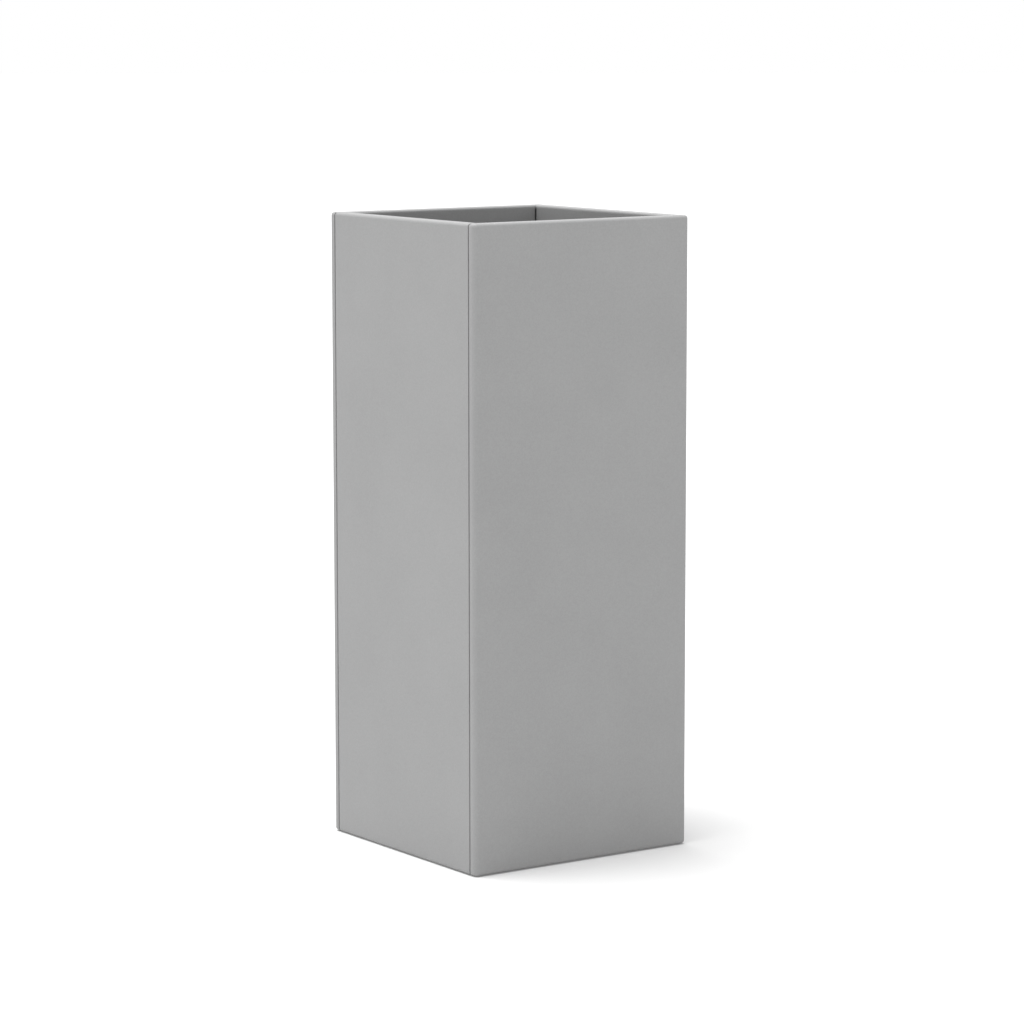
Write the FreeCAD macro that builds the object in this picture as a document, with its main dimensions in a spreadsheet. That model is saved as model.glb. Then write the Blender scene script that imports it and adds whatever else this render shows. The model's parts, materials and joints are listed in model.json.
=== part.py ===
import FreeCAD, Part
import Sketcher
import math
import os

# A tall square planter of glass-fibre plastic, open at the top. Millimetres, +Z up, the origin on the
# floor under the middle. The front is the -Y face. Two shells, front and back, turn the corners; two
# side panels are set between them, so each side face shows two fine upright seams.

Vector = FreeCAD.Vector
along_z = Vector(0, 0, 1)

doc = FreeCAD.newDocument("tall_planter")
sheet = doc.addObject("Spreadsheet::Sheet", "Sizes")

sizes = {
    # the box as it is seen
    "overall_width": 330,        # across the faces, both ways
    "overall_height": 813,       # floor to rim
    "corner_radius": 6,          # the four upright outer corners
    "edge_radius": 4,            # outer edges at the top and at the bottom
    "wall": 5,                   # laminate of the four sides
    # rim turned in at the top, with a lip turned down from it
    "rim_width": 18,
    "rim_thickness": 5,
    "lip_depth": 38,             # below the top of the rim
    "lip_thickness": 4,
    "lip_corner_radius": 2,      # inner upright corners of the mouth
    "rim_inner_radius": 3,       # edge between rim and lip
    "lip_bevel": 1,              # lower edges of the lip
    "lip_joint": 2,              # open joint where two lips meet in a corner
    # flange turned in at the bottom
    "flange_width": 36,
    "flange_thickness": 5,
    "flange_corner_radius": 12,
    # seams between the corner returns and the side panels
    "seam_offset": 12,           # corner to middle of seam
    "seam_gap": 2,
    "seam_recess": 2,            # how deep the bead lies in the seam
    # rubber pads let into the bottom flange
    "foot_proud": 1,             # pads stand this far below the flange
    "pad_diameter": 25,
    "pad_thickness": 3,
    "pad_fit": 0.25,             # round the pad in its recess
    "pad_inset": 22,             # front or back face to pad centre
    "pad_side_inset": 55,        # side face to pad centre
    # base panel with a dished drain
    "base_thickness": 6,
    "base_fit": 0.5,             # between the panel and each wall
    "base_corner_radius": 3,
    "dish_diameter": 90,
    "dish_floor_diameter": 44,
    "dish_depth": 2,
    "drain_diameter": 25,
    # glass tapes bonded into the inner corners
    "tape_width": 40,
    "tape_thickness": 2.5,
    "tape_edge": 0.6,            # thickness left at a feathered edge
    "tape_feather": 8,
    "tape_gap": 0.5,             # between one tape and the next
    "tape_top_gap": 8,           # below the rim
    "tape_heel_radius": 1.5,
    # lift-out shelf
    "planting_depth": 330,       # top of the rim to the deck
    "shelf_clearance": 3,        # each side, in the mouth
    "shelf_height": 24,
    "shelf_wall": 4,
    "shelf_draft": 2,            # degrees, narrower at the deck
    "shelf_corner_radius": 12,
    "shelf_edge_radius": 6,
    "rib_thickness": 4,
    "rib_clear": 6,              # ribs end this far above the skirt's lower edge
    "hole_diameter": 12,
    "hole_rows": 3,
    "hole_margin": 60,           # edge of the shelf to the outer holes
    "finger_length": 90,
    "finger_width": 24,
    "finger_inset": 32,          # edge of the shelf to the middle of the slot
    "finger_corner_radius": 9,
    # ledges that carry it
    "ledge_length": 160,
    "ledge_drop": 40,
    "ledge_thickness": 4,
    "ledge_lap_width": 22,       # how far the shelf lies over the ledge
    "ledge_corner_radius": 8,
    "gusset_thickness": 4,
    "gusset_spacing": 100,
    "gusset_inset": 6,           # back from the free edges of the ledge
    # rubber drain plug
    "plug_fit": 0.3,             # round the stem in the drain hole
    "plug_taper": 1,             # less radius at the tip
    "plug_reach": 2,             # below the base panel
    "plug_flange_diameter": 36,
    "plug_flange_thickness": 3,
    "tab_width": 18,
    "tab_height": 16,
    "tab_thickness": 5,
    "tab_hole_diameter": 8,
    # air between a piece that lifts out and what it rests on
    "rest_gap": 0.3,
}
for row, (name, value) in enumerate(sizes.items(), 1):
    sheet.set("A%d" % row, name)
    sheet.set("B%d" % row, str(value))
    sheet.setAlias("B%d" % row, name)
doc.recompute()


# --- sizes worked out from the sheet ---------------------------------------------------------------

def total(*terms):
    # a formula that adds its terms; a bare name is a cell of the sheet
    return "(%s)" % " + ".join(cell(term) for term in terms)


def cell(term):
    return "Sizes." + term if term in sizes else term


def minus(term):
    return "(-%s)" % cell(term)


half = "(Sizes.overall_width / 2)"
half_gap = "(Sizes.seam_gap / 2)"
wall_face = total(half, minus("wall"))                       # inner face of a wall
mouth_half = total(half, minus("rim_width"))                 # inner face of the lip
lip_back = total(mouth_half, "lip_thickness")
lip_bottom = total("overall_height", minus("lip_depth"))
rim_underside = total("overall_height", minus("rim_thickness"))
return_end = total(half, minus("seam_offset"), half_gap)
panel_edge = total(half, minus("seam_offset"), minus(half_gap))
flange_top = total("foot_proud", "flange_thickness")
base_top = total(flange_top, "base_thickness")
dish_floor = total(base_top, minus("dish_depth"))
shelf_half = total(mouth_half, minus("shelf_clearance"))
shelf_top = total("overall_height", minus("planting_depth"))
shelf_bottom = total(shelf_top, minus("shelf_height"))
ledge_top = total(shelf_bottom, minus("rest_gap"))
ledge_reach = total("rim_width", minus("wall"), "shelf_clearance", "ledge_lap_width")
plug_seat = total(dish_floor, "rest_gap")
plug_top = total(plug_seat, "plug_flange_thickness")


# --- tools for sketches and features ---------------------------------------------------------------

def new_body(label):
    body = doc.addObject("PartDesign::Body", label)
    body.Label = label
    return body


def new_sketch(body, name, role, lift="0"):
    # a sketch on one of the body's own planes, lifted along the plane's normal
    plane = [item for item in body.Origin.OriginFeatures if item.Role == role][0]
    sketch = body.newObject("Sketcher::SketchObject", name)
    sketch.AttachmentSupport = (plane, [""])
    sketch.MapMode = "FlatFace"
    sketch.setExpression("AttachmentOffset.Base.z", lift)
    return sketch


def bind(sketch, constraint, name, formula):
    sketch.renameConstraint(sketch.addConstraint(constraint), name)
    sketch.setExpression("Constraints." + name, formula)


def hold(sketch, geometry, point, name, across, along):
    # a point held at its two distances from the sketch's origin
    bind(sketch, Sketcher.Constraint("DistanceX", -1, 1, geometry, point, 1), name + "_x", across)
    bind(sketch, Sketcher.Constraint("DistanceY", -1, 1, geometry, point, 1), name + "_y", along)


def polygon(sketch, corners, name="corner"):
    first = sketch.GeometryCount
    count = len(corners)
    for place in range(count):
        turn = 2 * math.pi * place / count
        following = 2 * math.pi * (place + 1) / count
        start = Vector(math.cos(turn), math.sin(turn), 0)
        end = Vector(math.cos(following), math.sin(following), 0)
        sketch.addGeometry(Part.LineSegment(start, end), False)
    for place in range(count):
        following = first + (place + 1) % count
        sketch.addConstraint(Sketcher.Constraint("Coincident", first + place, 2, following, 1))
    for place, (across, along) in enumerate(corners):
        hold(sketch, first + place, 1, "%s_%d" % (name, place), across, along)


def rectangle(sketch, low_x, high_x, low_y, high_y, name="side"):
    polygon(sketch, [(low_x, low_y), (high_x, low_y), (high_x, high_y), (low_x, high_y)], name)


def square(sketch, half_side, name="side"):
    rectangle(sketch, minus(half_side), half_side, minus(half_side), half_side, name)


def circle(sketch, across, along, diameter, name="round"):
    geometry = sketch.addGeometry(Part.Circle(Vector(1, 1, 0), along_z, 1), False)
    hold(sketch, geometry, 3, name, across, along)
    bind(sketch, Sketcher.Constraint("Diameter", geometry, 2), name + "_diameter", cell(diameter))


def feature(body, kind, name, sketch, length=None, **settings):
    base = body.Tip
    made = body.newObject("PartDesign::" + kind, name)
    made.Profile = sketch
    if length:
        made.setExpression("Length", length)
    for setting, value in settings.items():
        setattr(made, setting, value)
    body.Tip = made
    doc.recompute()
    if kind in ("Pocket", "Groove") and made.Shape.Volume > base.Shape.Volume - 1:
        raise RuntimeError(name + " cuts nothing")
    return made


def mirror(body, name, original, role):
    plane = [item for item in body.Origin.OriginFeatures if item.Role == role][0]
    before = body.Tip.Shape.Volume
    made = body.newObject("PartDesign::Mirrored", name)
    made.Originals = [original]
    made.MirrorPlane = (plane, [""])
    body.Tip = made
    doc.recompute()
    if abs(made.Shape.Volume - before) < 1:
        raise RuntimeError(name + " changes nothing")
    return made


def edges_of(shape, wanted):
    return ["Edge%d" % number for number, edge in enumerate(shape.Edges, 1) if wanted(edge)]


def dress_edges(body, kind, name, setting, size, wanted):
    base = body.Tip
    made = body.newObject("PartDesign::" + kind, name)
    made.Base = (base, edges_of(base.Shape, wanted))
    made.setExpression(setting, cell(size))
    body.Tip = made
    doc.recompute()


def round_edges(body, name, radius, wanted):
    dress_edges(body, "Fillet", name, "Radius", radius, wanted)


def bevel_edges(body, name, width, wanted):
    dress_edges(body, "Chamfer", name, "Size", width, wanted)


def draft_faces(body, name, angle, wanted, hollow=False):
    # leans the wanted faces in towards the middle as they rise from the body's lowest face
    base = body.Tip
    faces = [("Face%d" % number, face) for number, face in enumerate(base.Shape.Faces, 1)]
    made = body.newObject("PartDesign::Draft", name)
    made.Base = (base, [label for label, face in faces if wanted(face)])
    lowest = min(faces, key=lambda pair: pair[1].BoundBox.ZMax)
    made.NeutralPlane = (base, [lowest[0]])
    made.setExpression("Angle", cell(angle))
    made.Reversed = hollow
    body.Tip = made
    doc.recompute()


def straight(edge, direction):
    # as long as its reach along the direction
    run = edge.Vertexes[-1].Point - edge.Vertexes[0].Point
    return edge.Length > 0.01 and abs(run.dot(direction)) > edge.Length - 0.001


def level(edge, height):
    return abs(edge.BoundBox.ZMin - height) < 0.01 and abs(edge.BoundBox.ZMax - height) < 0.01


def inside(edge, reach):
    box = edge.BoundBox
    return max(-box.XMin, box.XMax, -box.YMin, box.YMax) < reach + 0.01


def quarter_turns(count):
    return FreeCAD.Placement(Vector(0, 0, 0), FreeCAD.Rotation(along_z, 90 * count))


# --- the form of all four walls: block, mouth, rim with its lip, bottom flange ---------------------

mouth_reach = sizes["overall_width"] / 2 - sizes["rim_width"]
lip_level = sizes["overall_height"] - sizes["lip_depth"]

form = new_body("planter_form")
outline = new_sketch(form, "outline", "XY_Plane", cell("foot_proud"))
square(outline, half)
feature(form, "Pad", "block", outline, total("overall_height", minus("foot_proud")))
round_edges(form, "outer_corners", "corner_radius", lambda edge: straight(edge, along_z))
round_edges(form, "outer_edges", "edge_radius", lambda edge: not straight(edge, along_z))

mouth = new_sketch(form, "mouth_outline", "XY_Plane", cell("overall_height"))
square(mouth, mouth_half)
feature(form, "Pocket", "mouth", mouth, total("overall_height", minus(flange_top)))
round_edges(form, "mouth_corners", "lip_corner_radius",
            lambda edge: straight(edge, along_z) and inside(edge, mouth_reach))
round_edges(form, "rim_inner_edge", "rim_inner_radius",
            lambda edge: level(edge, sizes["overall_height"]) and inside(edge, mouth_reach))

cavity = new_sketch(form, "cavity_outline", "XY_Plane", lip_bottom)
square(cavity, wall_face)
feature(form, "Pocket", "cavity", cavity, total(lip_bottom, minus(flange_top)))

channel = new_sketch(form, "channel_outline", "XY_Plane", lip_bottom)
square(channel, wall_face, "wall_side")
square(channel, lip_back, "lip_side")
feature(form, "Pocket", "channel", channel, total(rim_underside, minus(lip_bottom)), Reversed=True)
bevel_edges(form, "lip_edges", "lip_bevel",
            lambda edge: level(edge, lip_level) and inside(edge, mouth_reach + sizes["lip_thickness"]))

# the lips stop short of one another, so each corner of the mouth has a fine upright slot
joint_half = "(Sizes.lip_joint / 2 / sqrt(2))"
joint_near = total(mouth_half, minus("lip_thickness"))
joint_far = total(lip_back, "lip_thickness")
joints = new_sketch(form, "joint_outline", "XY_Plane", lip_bottom)
for place, turn_x, turn_y in (
    ("front_left", minus, minus),
    ("front_right", cell, minus),
    ("back_right", cell, cell),
    ("back_left", minus, cell),
):
    polygon(joints, [
        (turn_x(total(joint_near, joint_half)), turn_y(total(joint_near, minus(joint_half)))),
        (turn_x(total(joint_far, joint_half)), turn_y(total(joint_far, minus(joint_half)))),
        (turn_x(total(joint_far, minus(joint_half))), turn_y(total(joint_far, joint_half))),
        (turn_x(total(joint_near, minus(joint_half))), turn_y(total(joint_near, joint_half))),
    ], place)
feature(form, "Pocket", "lip_joints", joints, total(rim_underside, minus(lip_bottom)), Reversed=True)

opening = new_sketch(form, "opening_outline", "XY_Plane", cell("foot_proud"))
square(opening, total(half, minus("flange_width")))
feature(form, "Pocket", "flange_opening", opening, cell("flange_thickness"), Reversed=True)
round_edges(form, "flange_corners", "flange_corner_radius",
            lambda edge: straight(edge, along_z)
            and inside(edge, sizes["overall_width"] / 2 - sizes["flange_width"]))

pad_across = total(half, minus("pad_side_inset"))
pad_along = total(half, minus("pad_inset"))
pad_places = {
    "front_left": (minus(pad_across), minus(pad_along)),
    "front_right": (pad_across, minus(pad_along)),
    "back_right": (pad_across, pad_along),
    "back_left": (minus(pad_across), pad_along),
}
recesses = new_sketch(form, "recess_outline", "XY_Plane", cell("foot_proud"))
for place, (across, along) in pad_places.items():
    circle(recesses, across, along, "(Sizes.pad_diameter + 2 * Sizes.pad_fit)", place)
feature(form, "Pocket", "pad_recesses", recesses, total("pad_thickness", minus("foot_proud")),
        Reversed=True)


# --- the form divided into four mouldings along the seams ------------------------------------------

beyond = total(half, "edge_radius")


def region(name, corners, quarters):
    # an upright prism that takes in one moulding's share of the form
    sketch = doc.addObject("Sketcher::SketchObject", name + "_outline")
    polygon(sketch, corners)
    prism = doc.addObject("Part::Extrusion", name)
    prism.Base = sketch
    prism.DirMode = "Custom"
    prism.Dir = along_z
    prism.Solid = True
    prism.setExpression("LengthFwd", total("overall_height", "edge_radius"))
    prism.Placement = quarter_turns(quarters)
    return prism


def share_of_form(label, tool):
    piece = doc.addObject("Part::Common", label)
    piece.Label = label
    piece.Base = form
    piece.Tool = tool
    return piece


# each joint runs straight in from the side face, then along the mitre towards the middle
shell_corners = [
    (minus(beyond), minus(beyond)),
    (beyond, minus(beyond)),
    (beyond, minus(return_end)),
    (return_end, minus(return_end)),
    ("0", "0"),
    (minus(return_end), minus(return_end)),
    (minus(beyond), minus(return_end)),
]
panel_corners = [
    (minus(beyond), minus(panel_edge)),
    (minus(panel_edge), minus(panel_edge)),
    ("0", "0"),
    (minus(panel_edge), panel_edge),
    (minus(beyond), panel_edge),
]
parts = []
for label, corners, quarters in (
    ("front_shell", shell_corners, 0),
    ("back_shell", shell_corners, 2),
    ("left_side_panel", panel_corners, 0),
    ("right_side_panel", panel_corners, 2),
):
    parts.append(share_of_form(label, region(label + "_region", corners, quarters)))

# the bead that seals each seam, a little below the surface all the way round the section
bead_inner = return_end
bead_outer = total(half, minus("seam_recess"))
for place, low_x, low_y in (
    ("front_left", minus(bead_outer), minus(return_end)),
    ("front_right", bead_inner, minus(return_end)),
    ("back_right", bead_inner, panel_edge),
    ("back_left", minus(bead_outer), panel_edge),
):
    slot = doc.addObject("Part::Box", "seam_slot_" + place)
    slot.setExpression("Length", total(bead_outer, minus(bead_inner)))
    slot.setExpression("Width", cell("seam_gap"))
    slot.setExpression("Height", total("overall_height", minus("foot_proud"),
                                       minus("seam_recess"), minus("seam_recess")))
    slot.setExpression("Placement.Base.x", low_x)
    slot.setExpression("Placement.Base.y", low_y)
    slot.setExpression("Placement.Base.z", total("foot_proud", "seam_recess"))
    parts.append(share_of_form("seam_bead_" + place, slot))


# --- foot pads -------------------------------------------------------------------------------------

for place, (across, along) in pad_places.items():
    pad = new_body("foot_pad_" + place)
    disc = new_sketch(pad, "pad_outline", "XY_Plane")
    circle(disc, across, along, "pad_diameter")
    feature(pad, "Pad", "disc", disc, cell("pad_thickness"))
    parts.append(pad)


# --- base panel, dished towards the drain ----------------------------------------------------------

base = new_body("base_panel")
plan = new_sketch(base, "base_outline", "XY_Plane", flange_top)
square(plan, total(wall_face, minus("base_fit")))
feature(base, "Pad", "panel", plan, cell("base_thickness"))
round_edges(base, "base_corners", "base_corner_radius", lambda edge: straight(edge, along_z))

dish = new_sketch(base, "dish_section", "XZ_Plane")
polygon(dish, [
    ("0", dish_floor),
    ("(Sizes.dish_floor_diameter / 2)", dish_floor),
    ("(Sizes.dish_diameter / 2)", base_top),
    ("0", base_top),
])
feature(base, "Groove", "dish", dish, ReferenceAxis=(dish, ["V_Axis"]), Angle=360)

drain = new_sketch(base, "drain_outline", "XY_Plane", base_top)
circle(drain, "0", "0", "drain_diameter")
feature(base, "Pocket", "drain_hole", drain, Type="ThroughAll")
parts.append(base)


# --- glass tapes: feathered angles bonded over the joints, inside ----------------------------------

def tape_section(sketch, heel_x, heel_y):
    width, edge = cell("tape_width"), cell("tape_edge")
    thick, shoulder = cell("tape_thickness"), total("tape_width", minus("tape_feather"))
    legs = [("0", "0"), (width, "0"), (width, edge), (shoulder, thick),
            (thick, thick), (thick, shoulder), (edge, width), ("0", width)]
    polygon(sketch, [(total(heel_x, across), total(heel_y, along)) for across, along in legs])


corner_order = ("front_left", "front_right", "back_right", "back_left")
for quarters, place in enumerate(corner_order):
    tape = new_body("corner_tape_" + place)
    section = new_sketch(tape, "corner_section", "XY_Plane", base_top)
    tape_section(section, minus(wall_face), minus(wall_face))
    feature(tape, "Pad", "strip", section,
            total(rim_underside, minus("tape_top_gap"), minus(base_top)))
    heel = sizes["overall_width"] / 2 - sizes["wall"]
    round_edges(tape, "heel", "tape_heel_radius",
                lambda edge: straight(edge, along_z) and edge.BoundBox.XMax < 0.1 - heel
                and edge.BoundBox.YMax < 0.1 - heel)
    tape.Placement = quarter_turns(quarters)
    parts.append(tape)

side_order = ("front", "right", "back", "left")
for quarters, place in enumerate(side_order):
    tape = new_body("base_tape_" + place)
    section = new_sketch(tape, "base_section", "YZ_Plane")
    tape_section(section, minus(wall_face), base_top)
    room = total(wall_face, minus("tape_width"), minus("tape_gap"))
    feature(tape, "Pad", "strip", section, total(room, room), SideType="Symmetric")
    tape.Placement = quarter_turns(quarters)
    parts.append(tape)


# --- ledges that carry the shelf -------------------------------------------------------------------

ledge_half = sizes["ledge_length"] / 2
for quarters, place in enumerate(side_order):
    ledge = new_body("shelf_ledge_" + place)
    wall_side = minus(wall_face)
    free_side = total(wall_side, ledge_reach)
    leg_side = total(wall_side, "ledge_thickness")
    underside = total(ledge_top, minus("ledge_thickness"))
    foot = total(ledge_top, minus("ledge_drop"))

    section = new_sketch(ledge, "ledge_section", "YZ_Plane")
    polygon(section, [(wall_side, foot), (leg_side, foot), (leg_side, underside),
                      (free_side, underside), (free_side, ledge_top), (wall_side, ledge_top)])
    feature(ledge, "Pad", "angle", section, cell("ledge_length"), SideType="Symmetric")
    round_edges(ledge, "free_corners", "ledge_corner_radius",
                lambda edge: abs(abs(edge.CenterOfMass.x) - ledge_half) < 0.01
                and edge.Length < sizes["ledge_thickness"] + 0.01)

    gusset = new_sketch(ledge, "gusset_section", "YZ_Plane", "(-Sizes.gusset_spacing / 2)")
    polygon(gusset, [(leg_side, total(foot, "gusset_inset")),
                     (total(free_side, minus("gusset_inset")), underside),
                     (leg_side, underside)])
    web = feature(ledge, "Pad", "gusset", gusset, cell("gusset_thickness"), SideType="Symmetric")
    mirror(ledge, "second_gusset", web, "YZ_Plane")
    ledge.Placement = quarter_turns(quarters)
    parts.append(ledge)


# --- lift-out shelf: a drafted tray turned upside down, ribbed below, with drain holes -------------

shelf = new_body("lift_out_shelf")
plan = new_sketch(shelf, "shelf_outline", "XY_Plane", shelf_bottom)
square(plan, shelf_half)
feature(shelf, "Pad", "block", plan, cell("shelf_height"))
deck_level = shelf.Shape.BoundBox.ZMax
under = new_sketch(shelf, "hollow_outline", "XY_Plane", shelf_bottom)
square(under, total(shelf_half, minus("shelf_wall")))
feature(shelf, "Pocket", "hollow", under, total("shelf_height", minus("shelf_wall")), Reversed=True)


def upright(item, outer):
    # an upright edge or face of the outer skirt, or else of the hollow
    box = item.BoundBox
    reaches_deck = box.ZMax > deck_level - sizes["shelf_wall"] / 2
    return box.ZLength > sizes["shelf_height"] / 2 and reaches_deck == outer


round_edges(shelf, "hollow_corners", total("shelf_corner_radius", minus("shelf_wall")),
            lambda edge: upright(edge, False))
draft_faces(shelf, "hollow_draft", "shelf_draft", lambda face: upright(face, False), hollow=True)
bevel_edges(shelf, "hollow_edge", total("shelf_edge_radius", minus("shelf_wall")),
            lambda edge: level(edge, deck_level - sizes["shelf_wall"]))
round_edges(shelf, "skirt_corners", "shelf_corner_radius", lambda edge: upright(edge, True))
draft_faces(shelf, "skirt_draft", "shelf_draft", lambda face: upright(face, True))
round_edges(shelf, "deck_edge", "shelf_edge_radius", lambda edge: level(edge, deck_level))

# two ribs each way below the deck, halfway between the outer rows of holes and the next
row_spacing = total("((%s - Sizes.hole_margin) * 2 / (Sizes.hole_rows - 1))" % shelf_half)
rib_middle = total(shelf_half, minus("hole_margin"), "(-%s / 2)" % row_spacing)
rib_low = total(rib_middle, "(-Sizes.rib_thickness / 2)")
rib_high = total(rib_middle, "(Sizes.rib_thickness / 2)")
rib_end = total(shelf_half, "(-Sizes.shelf_wall / 2)")
rib_height = total("shelf_height", minus("shelf_wall"), minus("rib_clear"))
for direction in ("x", "y"):
    ribs = new_sketch(shelf, "ribs_%s_outline" % direction, "XY_Plane",
                      total(shelf_bottom, "rib_clear"))
    for side, low, high in (("low", minus(rib_high), minus(rib_low)), ("high", rib_low, rib_high)):
        if direction == "x":
            rectangle(ribs, minus(rib_end), rib_end, low, high, side)
        else:
            rectangle(ribs, low, high, minus(rib_end), rib_end, side)
    feature(shelf, "Pad", "ribs_" + direction, ribs, rib_height)

first_hole = new_sketch(shelf, "hole_outline", "XY_Plane", shelf_top)
grid_corner = total(shelf_half, minus("hole_margin"))
circle(first_hole, minus(grid_corner), minus(grid_corner), "hole_diameter")
hole = feature(shelf, "Pocket", "first_hole", first_hole, cell("shelf_height"))
holes = shelf.newObject("PartDesign::LinearPattern", "drain_holes")
holes.Originals = [hole]
holes.Direction = (first_hole, ["H_Axis"])
holes.Direction2 = (first_hole, ["V_Axis"])
for length, count in (("Length", "Occurrences"), ("Length2", "Occurrences2")):
    holes.setExpression(length, total(grid_corner, grid_corner))
    holes.setExpression(count, cell("hole_rows"))
shelf.Tip = holes
doc.recompute()

# finger slots near two opposite edges, to lift the shelf by
slot = new_sketch(shelf, "finger_outline", "XY_Plane", shelf_top)
slot_end = "(Sizes.finger_length / 2)"
slot_middle = total(shelf_half, minus("finger_inset"))
slot_side = "(Sizes.finger_width / 2)"
rectangle(slot, minus(slot_end), slot_end,
          total(slot_middle, minus(slot_side)), total(slot_middle, slot_side))
finger = feature(shelf, "Pocket", "finger_slot", slot, cell("shelf_height"))
mirror(shelf, "second_finger_slot", finger, "XZ_Plane")
slot_reach = sizes["finger_length"] / 2
round_edges(shelf, "finger_corners", "finger_corner_radius",
            lambda edge: straight(edge, along_z) and edge.BoundBox.ZMax > deck_level - 0.01
            and abs(abs(edge.CenterOfMass.x) - slot_reach) < 0.01)
parts.append(shelf)


# --- drain plug ------------------------------------------------------------------------------------

plug = new_body("drain_plug")
section = new_sketch(plug, "plug_section", "XZ_Plane")
tip = total(flange_top, minus("plug_reach"))
stem = "(Sizes.drain_diameter / 2 - Sizes.plug_fit)"
flange = "(Sizes.plug_flange_diameter / 2)"
polygon(section, [
    ("0", tip),
    (total(stem, minus("plug_taper")), tip),
    (stem, plug_seat),
    (flange, plug_seat),
    (flange, plug_top),
    ("0", plug_top),
])
feature(plug, "Revolution", "stopper", section, ReferenceAxis=(section, ["V_Axis"]), Angle=360)

tab = new_sketch(plug, "tab_outline", "XZ_Plane")
tab_half = "(Sizes.tab_width / 2)"
crown = total(plug_top, "tab_height", minus(tab_half))
rectangle(tab, minus(tab_half), tab_half, plug_seat, crown)
feature(plug, "Pad", "tab", tab, cell("tab_thickness"), SideType="Symmetric")
top_circle = new_sketch(plug, "crown_outline", "XZ_Plane")
circle(top_circle, "0", crown, "tab_width")
feature(plug, "Pad", "crown", top_circle, cell("tab_thickness"), SideType="Symmetric")
eye = new_sketch(plug, "eye_outline", "XZ_Plane")
circle(eye, "0", crown, "tab_hole_diameter")
feature(plug, "Pocket", "eye", eye, "(Sizes.tab_thickness * 2)", SideType="Symmetric")
parts.append(plug)
doc.recompute()


# --- checks and files ------------------------------------------------------------------------------

for item in doc.Objects:
    if "Invalid" in item.State or "Error" in item.State:
        raise RuntimeError("%s failed: %s" % (item.Label, item.State))
for piece in parts:
    if piece.Shape.isNull() or not piece.Shape.isValid() or len(piece.Shape.Solids) != 1:
        raise RuntimeError(piece.Label + " is not one sound solid")

os.makedirs("parts", exist_ok=True)
for piece in parts:
    piece.Shape.exportStep("parts/%s.step" % piece.Label)
    print("%-28s %10.1f mm3" % (piece.Label, piece.Shape.Volume))
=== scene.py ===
import json
import math
import bmesh
import bpy
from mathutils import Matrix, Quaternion, Vector, noise


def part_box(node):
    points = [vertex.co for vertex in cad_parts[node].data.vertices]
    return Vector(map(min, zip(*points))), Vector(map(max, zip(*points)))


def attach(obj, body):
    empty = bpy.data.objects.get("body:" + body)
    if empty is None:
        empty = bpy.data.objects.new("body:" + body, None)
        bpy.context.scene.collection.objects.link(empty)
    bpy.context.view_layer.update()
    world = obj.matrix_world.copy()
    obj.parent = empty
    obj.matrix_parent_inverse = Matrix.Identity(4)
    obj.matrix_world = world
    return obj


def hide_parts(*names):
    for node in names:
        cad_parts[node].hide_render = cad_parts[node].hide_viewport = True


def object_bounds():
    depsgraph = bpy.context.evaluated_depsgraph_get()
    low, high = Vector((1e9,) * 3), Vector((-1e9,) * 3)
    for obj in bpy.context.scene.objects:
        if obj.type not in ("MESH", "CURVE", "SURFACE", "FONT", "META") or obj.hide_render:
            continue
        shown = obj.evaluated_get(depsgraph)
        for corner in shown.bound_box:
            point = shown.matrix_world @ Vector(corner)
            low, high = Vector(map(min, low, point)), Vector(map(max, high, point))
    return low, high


# A tall square planter of grey glass-fibre plastic. Metres, +Z up, the front face is -Y.
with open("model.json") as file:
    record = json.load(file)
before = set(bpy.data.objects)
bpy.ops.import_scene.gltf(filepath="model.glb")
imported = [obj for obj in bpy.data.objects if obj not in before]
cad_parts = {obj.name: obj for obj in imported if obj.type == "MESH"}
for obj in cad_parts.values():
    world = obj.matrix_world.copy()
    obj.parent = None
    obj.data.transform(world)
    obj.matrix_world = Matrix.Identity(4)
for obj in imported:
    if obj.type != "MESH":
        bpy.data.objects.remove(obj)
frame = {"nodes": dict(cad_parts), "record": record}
nodes = frame["nodes"]
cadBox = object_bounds()
corners = ("front_left", "front_right", "back_right", "back_left")
sides = ("front", "right", "back", "left")
print("frame: %d pieces" % len(nodes))


# Small tools for shader nodes.

def add(tree, kind, inputs=None, **settings):
    # a new node; each input is a fixed value or another node's socket
    made = tree.nodes.new(kind)
    for name, value in settings.items():
        setattr(made, name, value)
    for name, value in (inputs or {}).items():
        if isinstance(value, bpy.types.NodeSocket):
            tree.links.new(value, made.inputs[name])
        else:
            made.inputs[name].default_value = value
    return made


def calc(tree, operation, first, second=0.0):
    return add(tree, "ShaderNodeMath", {0: first, 1: second}, operation=operation).outputs[0]


def ramp(tree, value, low, high, toLow=0.0, toHigh=1.0):
    made = add(tree, "ShaderNodeMapRange", {"Value": value, "From Min": low, "From Max": high,
                                            "To Min": toLow, "To Max": toHigh})
    return made.outputs["Result"]


def blendValue(tree, share, first, second):
    # the Mix node takes numbers in its sockets 2 and 3 and gives one in 0
    return add(tree, "ShaderNodeMix", {0: share, 2: first, 3: second}).outputs[0]


def blendColour(tree, share, first, second):
    # it takes colours in its sockets 6 and 7 and gives one in 2
    made = add(tree, "ShaderNodeMix", {0: share, 6: first, 7: second}, data_type="RGBA")
    return made.outputs[2]


def noiseAt(tree, place, scale, detail, roughness=0.5):
    made = add(tree, "ShaderNodeTexNoise", {"Vector": place, "Scale": scale, "Detail": detail,
                                            "Roughness": roughness})
    return made.outputs[0]


def grey(level, tint=0.0):
    # a neutral tone; a positive tint cools it
    return (level * (1 - tint), level, level * (1 + tint), 1.0)


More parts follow.
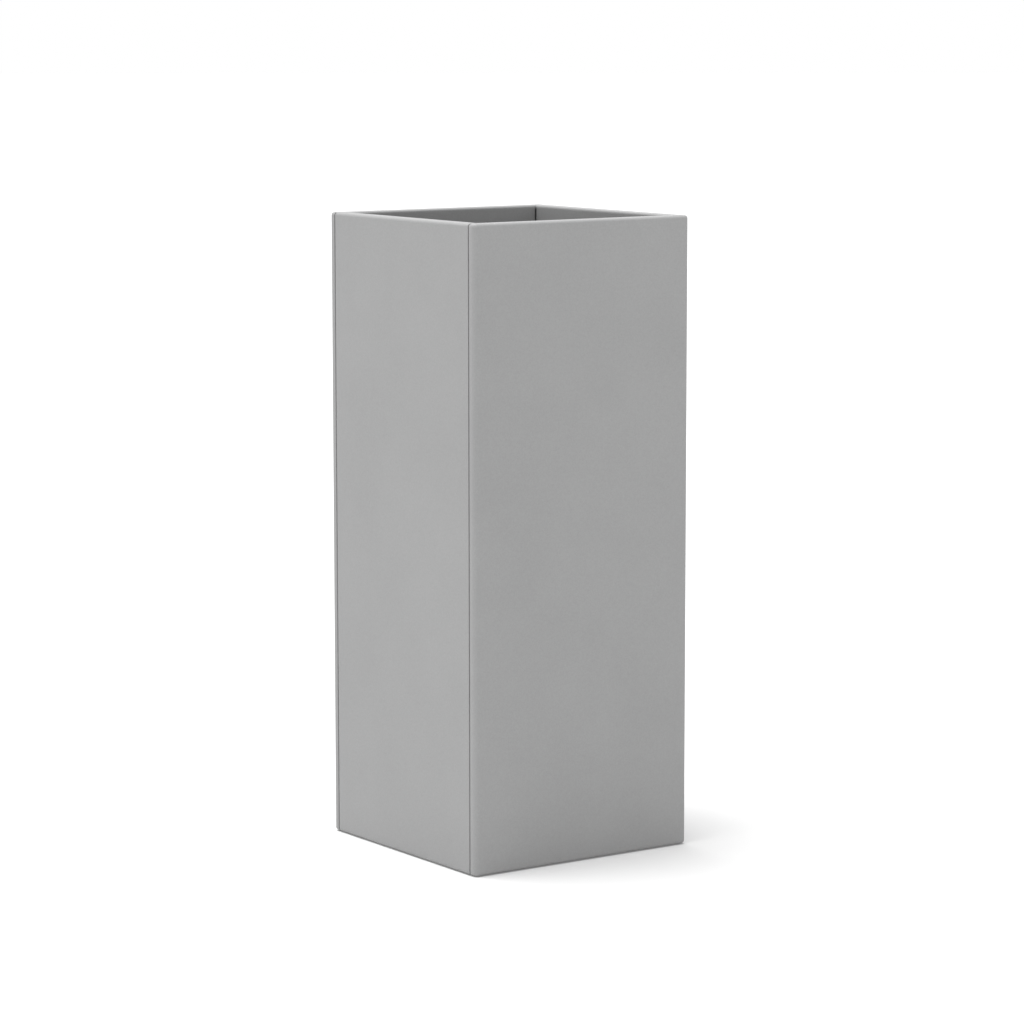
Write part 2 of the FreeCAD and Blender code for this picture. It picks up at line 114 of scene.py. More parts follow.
def newGroup(name, takes, gives):
    tree = bpy.data.node_groups.new(name, "ShaderNodeTree")
    for label, value in takes.items():
        socket = tree.interface.new_socket(label, in_out="INPUT", socket_type="NodeSocketFloat")
        socket.default_value = value
    for label in gives:
        tree.interface.new_socket(label, in_out="OUTPUT", socket_type="NodeSocketFloat")
    start = tree.nodes.new("NodeGroupInput")
    end = tree.nodes.new("NodeGroupOutput")
    return tree, start.outputs, end.inputs


def useGroup(tree, group, **values):
    made = tree.nodes.new("ShaderNodeGroup")
    made.node_tree = group
    for name, value in values.items():
        made.inputs[name].default_value = value
    return made.outputs


def objectPlace(tree):
    return add(tree, "ShaderNodeTexCoord").outputs["Object"]


def axesOf(tree, vector):
    return add(tree, "ShaderNodeSeparateXYZ", {0: vector}).outputs


def surfaceNormal(tree):
    return add(tree, "ShaderNodeNewGeometry").outputs["Normal"]


# Effects that several finishes share; each group gives masks and values only.

grainLook = {"fineDetail": 2.0, "cloudDetail": 3.0, "roughness": 0.55, "low": 0.25, "high": 0.75}


def makeGrain(look):
    # fine grain and slow clouds, each from 0 to 1; sizes in metres
    tree, takes, gives = newGroup("grain", {"grainSize": 0.002, "cloudSize": 0.08}, ("fine", "cloud"))
    for size, output in (("grainSize", "fine"), ("cloudSize", "cloud")):
        scale = calc(tree, "DIVIDE", 1.0, takes[size])
        texture = noiseAt(tree, objectPlace(tree), scale, look[output + "Detail"], look["roughness"])
        tree.links.new(ramp(tree, texture, look["low"], look["high"]), gives[output])
    return tree


wearLook = {
    "flat": 0.995, "turned": 0.90,              # cosines between the real and the rounded normal
    "patchDetail": 4.0, "patchLow": 0.35, "patchHigh": 0.7,
}


def makeEdgeWear(look):
    # 1 on outer edges that hands and brooms rub, broken up by noise
    tree, takes, gives = newGroup("edgeWear", {"reach": 0.001, "patchSize": 0.03}, ("worn",))
    soft = add(tree, "ShaderNodeBevel", {"Radius": takes["reach"]}, samples=4).outputs[0]
    bend = add(tree, "ShaderNodeVectorMath", {0: soft, 1: surfaceNormal(tree)}, operation="DOT_PRODUCT")
    edge = ramp(tree, bend.outputs["Value"], look["flat"], look["turned"])
    scale = calc(tree, "DIVIDE", 1.0, takes["patchSize"])
    patches = noiseAt(tree, objectPlace(tree), scale, look["patchDetail"])
    patches = ramp(tree, patches, look["patchLow"], look["patchHigh"])
    tree.links.new(calc(tree, "MULTIPLY", edge, patches), gives["worn"])
    return tree


dustLook = {
    "steep": 0.6, "level": 1.0,                 # how far the normal points up, from none to all
    "driftScale": 26.0, "detail": 8.0, "roughness": 0.7, "driftLow": 0.3, "driftHigh": 0.75,
}


def makeDust(look):
    # dust that has settled on what faces up
    tree, takes, gives = newGroup("dust", {"amount": 0.3}, ("dusty",))
    upward = ramp(tree, axesOf(tree, surfaceNormal(tree))["Z"], look["steep"], look["level"])
    drift = noiseAt(tree, objectPlace(tree), look["driftScale"], look["detail"], look["roughness"])
    drift = ramp(tree, drift, look["driftLow"], look["driftHigh"])
    lying = calc(tree, "MULTIPLY", upward, drift)
    tree.links.new(calc(tree, "MULTIPLY", lying, takes["amount"]), gives["dusty"])
    return tree


strandLook = {
    "length": 0.03, "width": 0.0014,
    "layers": 6, "firstTurn": 11, "turn": 30,   # degrees
    "low": 0.60, "high": 0.68,                  # the noise that counts as a strand
    "facing": 0.7,                              # the normal's share that decides the plane
    "ridge": 0.5, "waveScale": 60.0, "waveDetail": 3.0,
    "resinShade": 0.9, "strandShade": 1.15, "tint": 0.01,
    "relief": 0.0007,
}


def makeStrands(look):
    # short glass strands that lie every way in the resin, on whichever plane the surface faces
    tree, takes, gives = newGroup("strands", {"strandLength": 0.03, "strandWidth": 0.0014},
                                  ("strand", "relief"))
    place = axesOf(tree, objectPlace(tree))
    side = axesOf(tree, surfaceNormal(tree))
    facesX = calc(tree, "GREATER_THAN", calc(tree, "ABSOLUTE", side["X"]), look["facing"])
    facesZ = calc(tree, "GREATER_THAN", calc(tree, "ABSOLUTE", side["Z"]), look["facing"])
    across = blendValue(tree, facesX, place["X"], place["Y"])
    along = blendValue(tree, facesZ, place["Z"], place["Y"])
    flat = add(tree, "ShaderNodeCombineXYZ", {"X": across, "Y": along}).outputs[0]
    lengthScale = calc(tree, "DIVIDE", 1.0, takes["strandLength"])
    widthScale = calc(tree, "DIVIDE", 1.0, takes["strandWidth"])
    scale = add(tree, "ShaderNodeCombineXYZ", {"X": lengthScale, "Y": widthScale, "Z": 1.0}).outputs[0]
    found = None
    for layer in range(look["layers"]):
        turn = math.radians(look["turn"] * layer + look["firstTurn"])
        turned = add(tree, "ShaderNodeVectorRotate", {"Vector": flat, "Center": (layer, 0.0, 0.0),
                                                      "Angle": turn}, rotation_type="Z_AXIS")
        stretched = add(tree, "ShaderNodeVectorMath", {0: turned.outputs[0], 1: scale},
                        operation="MULTIPLY")
        strand = ramp(tree, noiseAt(tree, stretched.outputs[0], 1.0, 0.0), look["low"], look["high"])
        found = strand if found is None else calc(tree, "MAXIMUM", found, strand)
    tree.links.new(found, gives["strand"])
    wave = noiseAt(tree, flat, look["waveScale"], look["waveDetail"])
    ridge = calc(tree, "MULTIPLY", found, look["ridge"])
    tree.links.new(calc(tree, "ADD", ridge, wave), gives["relief"])
    return tree


weaveLook = {"wave": 0.05}                      # how far the whole cloth rises and falls


def makeWeave(look):
    # plain weave of flat rovings; the tape's own mesh carries its flat coordinates
    tree, takes, gives = newGroup("weave", {"pitch": 0.004}, ("roving", "relief"))
    flat = add(tree, "ShaderNodeAttribute", attribute_name="tapeSpace").outputs["Vector"]
    place = axesOf(tree, flat)
    perMetre = calc(tree, "DIVIDE", math.pi, takes["pitch"])
    turns = [calc(tree, "MULTIPLY", place[axis], perMetre) for axis in ("X", "Y")]
    sines = [calc(tree, "SINE", turn) for turn in turns]
    cosines = [calc(tree, "COSINE", turn) for turn in turns]
    crowns = [calc(tree, "ABSOLUTE", sine) for sine in sines]
    # over and under: the warp shows where both sines have the same sign
    over = calc(tree, "GREATER_THAN", calc(tree, "MULTIPLY", *sines), 0.0)
    relief = blendValue(tree, over, *crowns)
    slow = calc(tree, "MULTIPLY", calc(tree, "ADD", *cosines), look["wave"])
    tree.links.new(calc(tree, "ADD", relief, slow), gives["relief"])
    tree.links.new(over, gives["roving"])
    return tree


grain = makeGrain(grainLook)
edgeWear = makeEdgeWear(wearLook)
dust = makeDust(dustLook)
strands = makeStrands(strandLook)
weave = makeWeave(weaveLook)
print("shared effects: %d groups" % len(bpy.data.node_groups))


# Finishes. A shade is a share of the finish's own tone; sizes, reliefs and roundings are in metres.

def newFinish(name):
    finish = bpy.data.materials.new(name)
    finish.use_nodes = True
    tree = finish.node_tree
    return finish, tree, tree.nodes["Principled BSDF"]


def overlay(tree, tone, mask, share, level):
    # a neutral grey laid over the tone where the mask is, up to the share
    return blendColour(tree, calc(tree, "MULTIPLY", mask, share), tone, grey(level))


def layDust(tree, tone, spec):
    dusty = useGroup(tree, dust, amount=spec["dust"])["dusty"]
    return blendColour(tree, dusty, tone, grey(spec["dustTone"], spec["dustTint"]))


def layStrands(tree, tone):
    # resin with paler strands in it: its colour and its relief
    glass = useGroup(tree, strands, strandLength=strandLook["length"], strandWidth=strandLook["width"])
    colour = blendColour(tree, glass["strand"], grey(tone * strandLook["resinShade"], strandLook["tint"]),
                         grey(tone * strandLook["strandShade"], strandLook["tint"]))
    return colour, calc(tree, "MULTIPLY", glass["relief"], strandLook["relief"])


def applyRoughness(tree, shader, mask, spread):
    low, high = spread
    tree.links.new(ramp(tree, mask, 0.0, 1.0, low, high), shader.inputs["Roughness"])


def applyBump(tree, shader, height, rounding):
    # the rounding softens the edges that the mesh leaves sharp
    soft = add(tree, "ShaderNodeBevel", {"Radius": rounding}, samples=8).outputs[0]
    bump = add(tree, "ShaderNodeBump", {"Height": height, "Distance": 1.0, "Normal": soft})
    tree.links.new(bump.outputs[0], shader.inputs["Normal"])


gelcoat = {
    "tone": 0.340, "tint": 0.002,
    "grainSize": 0.0018, "cloudSize": 0.11,
    "speckle": 0.060, "mottle": 0.035,          # how much lighter or darker grain and clouds are
    "wearReach": 0.0012, "wearPatch": 0.03, "wearShare": 0.35, "wearShade": 1.25,
    "dust": 0.10, "dustTone": 0.5, "dustTint": 0.0,
    "roughness": 0.52, "cloudMatt": 0.06, "wornPolish": 0.12,
    "relief": 0.00006,
    "laminateTone": 0.27, "laminateRoughness": 0.62,
    "half": cadBox[1].x, "top": cadBox[1].z, "flangeTop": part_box("base_panel")[0].z,
    "wall": 0.005, "rimThickness": 0.005, "lipBack": 0.014, "lipDepth": 0.038, "rimWidth": 0.018,
    "margin": 0.0004,
    "edgeRounding": 0.0012, "rimRounding": 0.0035,
}


def findBare(tree, spec, reach, rise):
    # inside the walls, behind the lip and on the flange the bare laminate shows
    half, top, margin = spec["half"], spec["top"], spec["margin"]
    within = calc(tree, "LESS_THAN", reach, half - spec["wall"] + margin)
    above = calc(tree, "GREATER_THAN", rise, spec["flangeTop"] - margin)
    below = calc(tree, "LESS_THAN", rise, top - spec["rimThickness"] + margin)
    behind = calc(tree, "GREATER_THAN", reach, half - spec["lipBack"] - margin)
    underLip = calc(tree, "LESS_THAN", rise, top - spec["lipDepth"] - margin)
    hidden = calc(tree, "MAXIMUM", behind, underLip)
    return calc(tree, "MULTIPLY", calc(tree, "MULTIPLY", within, above),
                calc(tree, "MULTIPLY", below, hidden))


def findRounding(tree, spec, reach, rise):
    # the inner edge of the rim is softer than the others
    atMouth = calc(tree, "LESS_THAN", reach, spec["half"] - spec["rimWidth"] + 2 * spec["rimRounding"])
    atTop = calc(tree, "GREATER_THAN", rise, spec["top"] - 2 * spec["rimRounding"])
    return ramp(tree, calc(tree, "MULTIPLY", atMouth, atTop), 0.0, 1.0,
                spec["edgeRounding"], spec["rimRounding"])


def makeGelcoat(spec):
    finish, tree, shader = newFinish("gelcoat_finish")
    texture = useGroup(tree, grain, grainSize=spec["grainSize"], cloudSize=spec["cloudSize"])
    worn = useGroup(tree, edgeWear, reach=spec["wearReach"], patchSize=spec["wearPatch"])["worn"]
    place = axesOf(tree, objectPlace(tree))
    reach = calc(tree, "MAXIMUM", calc(tree, "ABSOLUTE", place["X"]), calc(tree, "ABSOLUTE", place["Y"]))
    bareHere = findBare(tree, spec, reach, place["Z"])
    bare, bareRelief = layStrands(tree, spec["laminateTone"])

    spread = spec["speckle"] + spec["mottle"]
    share = calc(tree, "ADD", calc(tree, "MULTIPLY", texture["fine"], spec["speckle"]),
                 calc(tree, "MULTIPLY", texture["cloud"], spec["mottle"]))
    share = calc(tree, "DIVIDE", share, spread)
    outside = blendColour(tree, share, grey(spec["tone"] * (1 - spread), spec["tint"]),
                          grey(spec["tone"] * (1 + spread), spec["tint"]))
    outside = overlay(tree, outside, worn, spec["wearShare"], spec["tone"] * spec["wearShade"])
    outside = layDust(tree, outside, spec)
    tree.links.new(blendColour(tree, bareHere, outside, bare), shader.inputs["Base Color"])

    matt = calc(tree, "MULTIPLY", texture["cloud"], spec["cloudMatt"])
    polish = calc(tree, "MULTIPLY", worn, spec["wornPolish"])
    satin = calc(tree, "SUBTRACT", calc(tree, "ADD", spec["roughness"], matt), polish)
    tree.links.new(blendValue(tree, bareHere, satin, spec["laminateRoughness"]),
                   shader.inputs["Roughness"])
    relief = blendValue(tree, bareHere, calc(tree, "MULTIPLY", texture["fine"], spec["relief"]),
                        bareRelief)
    applyBump(tree, shader, relief, findRounding(tree, spec, reach, place["Z"]))
    return finish


laminate = {
    "tone": 0.28, "grainSize": 0.004, "cloudSize": 0.06,
    "stainShare": 0.35, "stainShade": 0.75,
    "dust": 0.25, "dustTone": 0.42, "dustTint": -0.02,
    "roughness": (0.52, 0.68), "rounding": 0.0015,
}


def makeLaminate(spec):
    finish, tree, shader = newFinish("laminate_finish")
    texture = useGroup(tree, grain, grainSize=spec["grainSize"], cloudSize=spec["cloudSize"])
    tone, relief = layStrands(tree, spec["tone"])
    tone = overlay(tree, tone, texture["cloud"], spec["stainShare"], spec["tone"] * spec["stainShade"])
    tree.links.new(layDust(tree, tone, spec), shader.inputs["Base Color"])
    applyRoughness(tree, shader, texture["cloud"], spec["roughness"])
    applyBump(tree, shader, relief, spec["rounding"])
    return finish


tapeFinish = {
    "tone": 0.30, "tint": 0.01, "pitch": 0.0042, "grainSize": 0.0012, "cloudSize": 0.05,
    # painted shade in the weave's hollows and a painted highlight on its crowns, as shares of the tone
    "hollowPaintedShade": 0.72, "crownPaintedHighlight": 1.12,
    "rovingShare": 0.18, "rovingShade": 0.9, "stainShare": 0.3, "stainShade": 0.8,
    "roughness": (0.47, 0.65), "relief": 0.00045, "grainRelief": 0.0001, "rounding": 0.0004,
}


def makeTapeFinish(spec):
    finish, tree, shader = newFinish("glass_tape_finish")
    cloth = useGroup(tree, weave, pitch=spec["pitch"])
    texture = useGroup(tree, grain, grainSize=spec["grainSize"], cloudSize=spec["cloudSize"])
    # tone from the weave's relief: painted shade darkens the hollows and a painted highlight lightens the
    # crowns
    tone = blendColour(tree, cloth["relief"], grey(spec["tone"] * spec["hollowPaintedShade"], spec["tint"]),
                       grey(spec["tone"] * spec["crownPaintedHighlight"], spec["tint"]))
    tone = overlay(tree, tone, cloth["roving"], spec["rovingShare"], spec["tone"] * spec["rovingShade"])
    tone = overlay(tree, tone, texture["cloud"], spec["stainShare"], spec["tone"] * spec["stainShade"])
    tree.links.new(tone, shader.inputs["Base Color"])
    applyRoughness(tree, shader, texture["fine"], spec["roughness"])
    height = calc(tree, "ADD", calc(tree, "MULTIPLY", cloth["relief"], spec["relief"]),
                  calc(tree, "MULTIPLY", texture["fine"], spec["grainRelief"]))
    applyBump(tree, shader, height, spec["rounding"])
    return finish


shelfFinish = {
    "tone": 0.115, "tint": 0.01, "darkShade": 0.9, "paleShade": 1.1, "grainSize": 0.0009, "cloudSize": 0.05,
    "speckleShare": 0.25, "speckleShade": 1.35,
    "wearReach": 0.001, "wearPatch": 0.012, "wearShare": 0.5, "wearShade": 1.9,
    "dust": 0.22, "dustTone": 0.33, "dustTint": -0.03,
    "roughness": (0.48, 0.63), "roughnessBy": "cloud", "relief": 0.00012, "rounding": 0.0012,
}
sealantFinish = {
    "tone": 0.085, "tint": 0.0, "darkShade": 0.8, "paleShade": 1.25, "grainSize": 0.003, "cloudSize": 0.03,
    "dust": 0.4, "dustTone": 0.3, "dustTint": 0.0,
    "roughness": (0.34, 0.54), "roughnessBy": "fine", "relief": 0.0001, "rounding": 0.0005,
}
rubberFinish = {
    "tone": 0.026, "tint": 0.0, "darkShade": 0.8, "paleShade": 1.3, "grainSize": 0.0006, "cloudSize": 0.012,
    "wearReach": 0.0008, "wearPatch": 0.006, "wearShare": 0.5, "wearShade": 2.6,
    "dust": 0.35, "dustTone": 0.22, "dustTint": -0.03,
    "roughness": (0.60, 0.76), "roughnessBy": "cloud", "relief": 0.00008, "rounding": 0.0004,
}


def makeMoulding(name, spec):
    # clouded, and speckled and worn where the finish says so
    finish, tree, shader = newFinish(name)
    texture = useGroup(tree, grain, grainSize=spec["grainSize"], cloudSize=spec["cloudSize"])
    tone = blendColour(tree, texture["cloud"], grey(spec["tone"] * spec["darkShade"], spec["tint"]),
                       grey(spec["tone"] * spec["paleShade"], spec["tint"]))
    if "speckleShare" in spec:
        tone = overlay(tree, tone, texture["fine"], spec["speckleShare"],
                       spec["tone"] * spec["speckleShade"])
    if "wearShare" in spec:
        worn = useGroup(tree, edgeWear, reach=spec["wearReach"], patchSize=spec["wearPatch"])["worn"]
        tone = overlay(tree, tone, worn, spec["wearShare"], spec["tone"] * spec["wearShade"])
    tree.links.new(layDust(tree, tone, spec), shader.inputs["Base Color"])
    applyRoughness(tree, shader, texture[spec["roughnessBy"]], spec["roughness"])
    applyBump(tree, shader, calc(tree, "MULTIPLY", texture["fine"], spec["relief"]), spec["rounding"])
    return finish


finishes = {
    "gelcoat": makeGelcoat(gelcoat),
    "laminate": makeLaminate(laminate),
    "moulded_shelf": makeMoulding("moulded_shelf_finish", shelfFinish),
    "sealant": makeMoulding("sealant_finish", sealantFinish),
    "rubber": makeMoulding("rubber_finish", rubberFinish),
}
glassTapeFinish = makeTapeFinish(tapeFinish)
for part in frame["record"]["subparts"]:
    piece = nodes[part["node"]]
    piece.data.materials.clear()
    piece.data.materials.append(finishes[part["material_slot"]])
print("finishes: %d" % (len(finishes) + 1))


# Modelled pieces, which replace plain solids of the frame.

def newPiece(name, build, finish, slot, body, *stoodFor):
    mesh = bpy.data.meshes.new(name)
    build.normal_update()
    bmesh.ops.recalc_face_normals(build, faces=build.faces)
    build.to_mesh(mesh)
    build.free()
    for face in mesh.polygons:
        face.use_smooth = True
    piece = bpy.data.objects.new(name, mesh)
    bpy.context.scene.collection.objects.link(piece)
    mesh.materials.append(finish)
    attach(piece, body)
    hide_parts(*stoodFor)
    return piece


def joinPair(build, low, high):
    # quads between two rings of equally many points
    for place in range(len(low)):
        beside = (place + 1) % len(low)
        build.faces.new((low[place], low[beside], high[beside], high[place]))


def joinRings(build, rings, closed=False):
    # the two ends are capped, or joined when closed
    for low, high in zip(rings, rings[1:]):
        joinPair(build, low, high)
    if closed:
        joinPair(build, rings[-1], rings[0])
    else:
        build.faces.new(list(reversed(rings[0])))
        build.faces.new(rings[-1])


tape = {
    "width": 0.040,
    "thickness": 0.0022,
    "edge": 0.0005,            # thickness at the feathered edge
    "feather": 0.009,
    "heelRadius": 0.0015,      # outside, in the corner of the walls
    "coveRadius": 0.0045,      # inside
    "step": 0.003,
    "legSteps": 12, "heelSteps": 4, "coveSteps": 6,
    "ragged": 0.0022, "raggedScale": 60,        # how far the edge wanders in
    "fray": 0.0006, "frayScale": 420,
    "ripple": 0.00025, "rippleScale": 90,
}


def tapeRing(spec, along, seed):
    # one section of the tape, as (out of leg A, out of leg B, across) with the heel at 0, 0
    def reachOf(leg):
        wander = noise.noise(Vector((seed + 7.3 * leg, along * spec["raggedScale"], 0.0)))
        fray = noise.noise(Vector((seed + 3.1 * leg, along * spec["frayScale"], 5.0)))
        return spec["width"] - spec["ragged"] * (0.5 + 0.5 * wander) - spec["fray"] * abs(fray)

    def thicknessAt(distance, reach):
        rest = min(1.0, max(0.0, (reach - distance) / spec["feather"]))
        scale = spec["rippleScale"]
        full = spec["thickness"] + spec["ripple"] * noise.noise(
            Vector((distance * scale, along * scale, seed)))
        return spec["edge"] + (full - spec["edge"]) * (rest * (2 - rest))

    heel, cove = spec["heelRadius"], spec["coveRadius"]
    steps = spec["legSteps"]
    outer, inner = [], []
    reachA, reachB = reachOf(0), reachOf(1)
    body = thicknessAt(cove, reachA)
    for place in range(steps + 1):
        distance = reachA + (heel - reachA) * place / steps
        outer.append((distance, 0.0, distance))
    for place in range(1, spec["heelSteps"]):
        turn = math.pi / 2 * place / spec["heelSteps"]
        outer.append((heel - heel * math.sin(turn), heel - heel * math.cos(turn), 0.0))
    for place in range(steps + 1):
        distance = heel + (reachB - heel) * place / steps
        outer.append((0.0, distance, -distance))
    bend = body + cove
    for place in range(steps + 1):
        distance = reachB + (bend - reachB) * place / steps
        inner.append((thicknessAt(distance, reachB), distance, -distance))
    for place in range(1, spec["coveSteps"]):
        turn = math.pi / 2 * place / spec["coveSteps"]
        inner.append((bend - cove * math.cos(turn), bend - cove * math.sin(turn), 0.0))
    for place in range(steps + 1):
        distance = bend + (reachA - bend) * place / steps
        inner.append((distance, thicknessAt(distance, reachA), distance))
    return outer + inner


def makeTape(node, heel, legA, legB, along, length, seed):
    build = bmesh.new()
    flat = build.verts.layers.float_vector.new("tapeSpace")
    count = round(length / tape["step"])
    rings = []
    for place in range(count + 1):
        distance = length * place / count
        ring = []
        for outA, outB, across in tapeRing(tape, distance, seed):
            vert = build.verts.new(heel + legA * outA + legB * outB + along * distance)
            vert[flat] = (across, distance, 0.0)
            ring.append(vert)
        rings.append(ring)
    joinRings(build, rings)
    return newPiece(node + "_cloth", build, glassTapeFinish, "laminate", "planter", node)


upward = Vector((0, 0, 1))
for seed, corner in enumerate(corners):
    node = "corner_tape_" + corner
    low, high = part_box(node)
    signX = 1 if low.x > 0 else -1
    signY = 1 if low.y > 0 else -1
    heel = Vector((signX * max(abs(low.x), abs(high.x)), signY * max(abs(low.y), abs(high.y)), low.z))
    makeTape(node, heel, Vector((-signX, 0, 0)), Vector((0, -signY, 0)), upward, high.z - low.z, 10 * seed)
for seed, side in enumerate(sides):
    node = "base_tape_" + side
    low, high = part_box(node)
    inward = Vector((0, 0, 0)) - (low + high) / 2
    inward.z = 0
    inward.normalize()
    along = upward.cross(inward)
    middle = Vector(((low.x + high.x) / 2, (low.y + high.y) / 2, low.z))
    depth = min(high.x - low.x, high.y - low.y)
    length = max(high.x - low.x, high.y - low.y)
    heel = middle - inward * (depth / 2) - along * (length / 2)
    makeTape(node, heel, inward, upward, along, length, 50 + 10 * seed)
print("tapes: 8")


def softProfile(points, radius, steps=4):
    # a (radius, height) outline with its corners rounded; a third number multiplies the rounding there
    made = [points[0]]
    for before, here, after in zip(points, points[1:], points[2:]):
        corner = Vector(here[:2])
        start = Vector(before[:2]) - corner
        end = Vector(after[:2]) - corner
        bite = min(radius * (here[2] if len(here) > 2 else 1.0), start.length / 2, end.length / 2)
        first = corner + start.normalized() * bite
        last = corner + end.normalized() * bite
        for place in range(steps + 1):
            share = place / steps
            made.append(tuple(first.lerp(corner, share).lerp(corner.lerp(last, share), share)))
    made.append(points[-1])
    return made


def lathe(build, profile, centre, segments):
    # turns an outline that starts and ends on the axis
    rings = []
    for radius, height in profile[1:-1]:
        ring = []
        for place in range(segments):
            turn = 2 * math.pi * place / segments
            offset = Vector((radius * math.cos(turn), radius * math.sin(turn), height))
            ring.append(build.verts.new(centre + offset))
        rings.append(ring)
    for low, high in zip(rings, rings[1:]):
        joinPair(build, low, high)
    for (radius, height), ring in ((profile[0], rings[0]), (profile[-1], rings[-1])):
        tip = build.verts.new(centre + Vector((0, 0, height)))
        for place in range(segments):
            build.faces.new((ring[place], ring[(place + 1) % segments], tip))


pad = {
    "edgeRadius": 0.0009, "grooveShare": 4.0,   # the grooves are rounded by the radius over this
    "grooveSteps": 3, "segments": 64,
    "ringDepth": 0.0004, "ringWidth": 0.0012, "ringCount": 4,
}


def makePad(spec, corner):
    node = "foot_pad_" + corner
    low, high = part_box(node)
    radius = (high.x - low.x) / 2
    height = high.z - low.z
    centre = Vector(((low.x + high.x) / 2, (low.y + high.y) / 2, low.z))
    outline = [(0.0, 0.0)]
    for ring in range(spec["ringCount"]):
        # shallow grip grooves in the tread
        middle = radius * (ring + 1) / (spec["ringCount"] + 1)
        half = spec["ringWidth"] / 2
        outline += [(middle - half, 0.0), (middle - half / 2, spec["ringDepth"]),
                    (middle + half / 2, spec["ringDepth"]), (middle + half, 0.0)]
    outline += [(radius, 0.0, spec["grooveShare"]), (radius, height), (0.0, height)]
    profile = softProfile(outline, spec["edgeRadius"] / spec["grooveShare"], spec["grooveSteps"])
    build = bmesh.new()
    lathe(build, profile, centre, spec["segments"])
    return newPiece(node + "_tread", build, finishes["rubber"], "rubber", "planter", node)


for corner in corners:
    makePad(pad, corner)
print("foot pads: 4")

plug = {
    "tip": 0.0112, "stem": 0.0122, "flange": 0.018, "flangeThickness": 0.003,
    "edgeRadius": 0.0008, "segments": 72,
    "tabHeight": 0.016, "tabHalf": 0.009, "tabThickness": 0.005, "eyeRadius": 0.004, "tabEdge": 0.0012,
    "tabEdgeSteps": 3,         # on each side of the middle of its section
    "dishMargin": 0.001, "dish": 0.0002,        # the flange's top sinks a little towards the tab
    "tabSunk": 0.001,          # how far the tab goes below the flange
}


def makePlug(spec):
    low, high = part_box("drain_plug")
    crown = high.z - spec["tabHalf"]
    flangeTop = high.z - spec["tabHeight"]
    flangeLow = flangeTop - spec["flangeThickness"]
    dished = flangeTop - spec["dish"]
    outline = [(0.0, low.z), (spec["tip"], low.z), (spec["stem"], flangeLow), (spec["flange"], flangeLow),
               (spec["flange"], flangeTop), (spec["tabHalf"] + spec["dishMargin"], dished), (0.0, dished)]
    build = bmesh.new()
    lathe(build, softProfile(outline, spec["edgeRadius"]), Vector((0, 0, 0)), spec["segments"])

    # the pull tab: a rounded section carried round the eye
    halfThick, edge, steps = spec["tabThickness"] / 2, spec["tabEdge"], spec["tabEdgeSteps"]
    foot = crown - flangeLow - spec["tabSunk"]
    rings = []
    for place in range(spec["segments"]):
        turn = 2 * math.pi * place / spec["segments"]
        across, rise = math.cos(turn), math.sin(turn)
        outer = spec["tabHalf"]
        if rise < 0:
            outer = min(spec["tabHalf"] / max(abs(across), 1e-6), foot / -rise)
        section = []
        for radial, sign in ((spec["eyeRadius"], -1), (outer, 1)):
            for step in range(2 * steps + 1):
                bend = math.pi / 2 * (step / steps - 1) * sign
                away = radial - sign * edge + sign * edge * math.cos(bend)
                side = math.copysign(halfThick - edge, math.sin(bend)) if step != steps else 0.0
                side += edge * math.sin(bend)
                section.append((away, side))
        rings.append([build.verts.new(Vector((away * across, side, crown + away * rise)))
                      for away, side in section])
    joinRings(build, rings, closed=True)
    return newPiece("drain_plug_moulding", build, finishes["rubber"], "rubber", "plug", "drain_plug")


makePlug(plug)
print("drain plug")


# Floor, light and camera.

studio = {
    "floorRadius": 60.0, "floorSegments": 96, "floorTone": 0.68, "floorGlow": 0.12,
    "fill": 0.70,
    "keyFrom": (-0.13, 0.12, 1.0), "keyStrength": 3.3, "keySpread": 34.0,        # spread in degrees
}


def cameraSees(tree):
    # 1 for what the camera sees, straight or by way of something glossy or clear
    rays = add(tree, "ShaderNodeLightPath").outputs
    seen = rays["Is Camera Ray"]
    for kind in ("Is Glossy Ray", "Is Transmission Ray"):
        seen = calc(tree, "MAXIMUM", seen, rays[kind])
    return seen


def makeFloor(spec):
    build = bmesh.new()
    bmesh.ops.create_circle(build, cap_ends=True, segments=spec["floorSegments"],
                            radius=spec["floorRadius"])
    mesh = bpy.data.meshes.new("floor")
    build.to_mesh(mesh)
    build.free()
    floor = bpy.data.objects.new("floor", mesh)
    bpy.context.scene.collection.objects.link(floor)
    floor.location.z = cadBox[0].z
    surface = bpy.data.materials.new("floor_finish")
    surface.use_nodes = True
    tree = surface.node_tree
    tree.nodes.clear()
    pale = add(tree, "ShaderNodeBsdfDiffuse", {"Color": grey(spec["floorTone"])})
    strength = calc(tree, "MULTIPLY", cameraSees(tree), spec["floorGlow"])
    glow = add(tree, "ShaderNodeEmission", {"Color": grey(1.0), "Strength": strength})
    both = add(tree, "ShaderNodeAddShader", {0: pale.outputs[0], 1: glow.outputs[0]})
    # clear from below, so that the underside of the planter can be looked at
    clear = add(tree, "ShaderNodeBsdfTransparent")
    below = add(tree, "ShaderNodeNewGeometry").outputs["Backfacing"]
    sided = add(tree, "ShaderNodeMixShader", {0: below, 1: both.outputs[0], 2: clear.outputs[0]})
    add(tree, "ShaderNodeOutputMaterial", {"Surface": sided.outputs[0]})
    mesh.materials.append(surface)


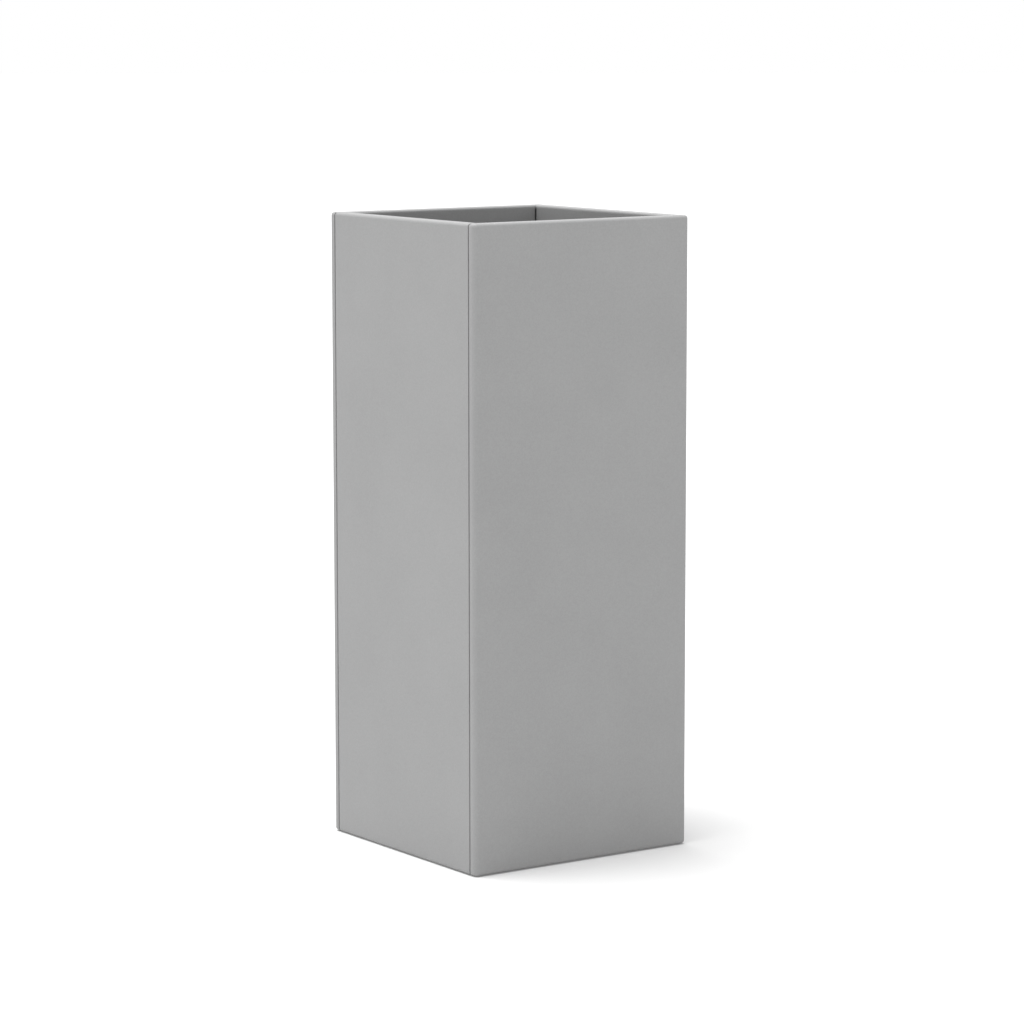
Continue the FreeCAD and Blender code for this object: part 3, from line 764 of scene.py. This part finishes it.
def makeWorld(spec):
    # white where the camera sees it, dimmer where it only lights
    world = bpy.data.worlds.new("studio")
    bpy.context.scene.world = world
    world.use_nodes = True
    tree = world.node_tree
    tree.nodes.clear()
    fill = add(tree, "ShaderNodeBackground", {"Color": grey(1.0), "Strength": spec["fill"]})
    white = add(tree, "ShaderNodeBackground", {"Color": grey(1.0), "Strength": 1.0})
    mix = add(tree, "ShaderNodeMixShader", {0: cameraSees(tree), 1: fill.outputs[0],
                                            2: white.outputs[0]})
    add(tree, "ShaderNodeOutputWorld", {"Surface": mix.outputs[0]})


def makeKey(spec):
    # a wide even light, high up and a little to the left and behind
    lamp = bpy.data.lights.new("key", "SUN")
    lamp.energy = spec["keyStrength"]
    lamp.angle = math.radians(spec["keySpread"])
    holder = bpy.data.objects.new("key", lamp)
    bpy.context.scene.collection.objects.link(holder)
    holder.rotation_mode = "QUATERNION"
    holder.rotation_quaternion = (-Vector(spec["keyFrom"])).to_track_quat("-Z", "Y")


makeFloor(studio)
makeWorld(studio)
makeKey(studio)

view = {
    "azimuth": -34.8057, "elevation": 7.8181, "roll": -0.0531,      # degrees
    "distance": 4.7404, "aside": 0.0047, "height": 0.4284,
    "lens": 129.114, "sensor": 36.0,                                # millimetres
    "near": 0.1, "far": 60.0,
}


def makeCamera(spec):
    turn, rise = math.radians(spec["azimuth"]), math.radians(spec["elevation"])
    back = Vector((math.sin(turn) * math.cos(rise), -math.cos(turn) * math.cos(rise), math.sin(rise)))
    right = Vector((math.cos(turn), math.sin(turn), 0))
    aim = Vector((0, 0, spec["height"])) + right * spec["aside"]
    lens = bpy.data.cameras.new("camera")
    lens.lens = spec["lens"]
    lens.sensor_width = spec["sensor"]
    lens.clip_start = spec["near"]
    lens.clip_end = spec["far"]
    camera = bpy.data.objects.new("camera", lens)
    bpy.context.scene.collection.objects.link(camera)
    camera.location = aim + back * spec["distance"]
    camera.rotation_mode = "QUATERNION"
    roll = Quaternion((0, 0, 1), math.radians(spec["roll"]))
    camera.rotation_quaternion = (-back).to_track_quat("-Z", "Y") @ roll
    bpy.context.scene.camera = camera


makeCamera(view)
bpy.context.scene.view_settings.view_transform = "Standard"
print("floor, light and camera")
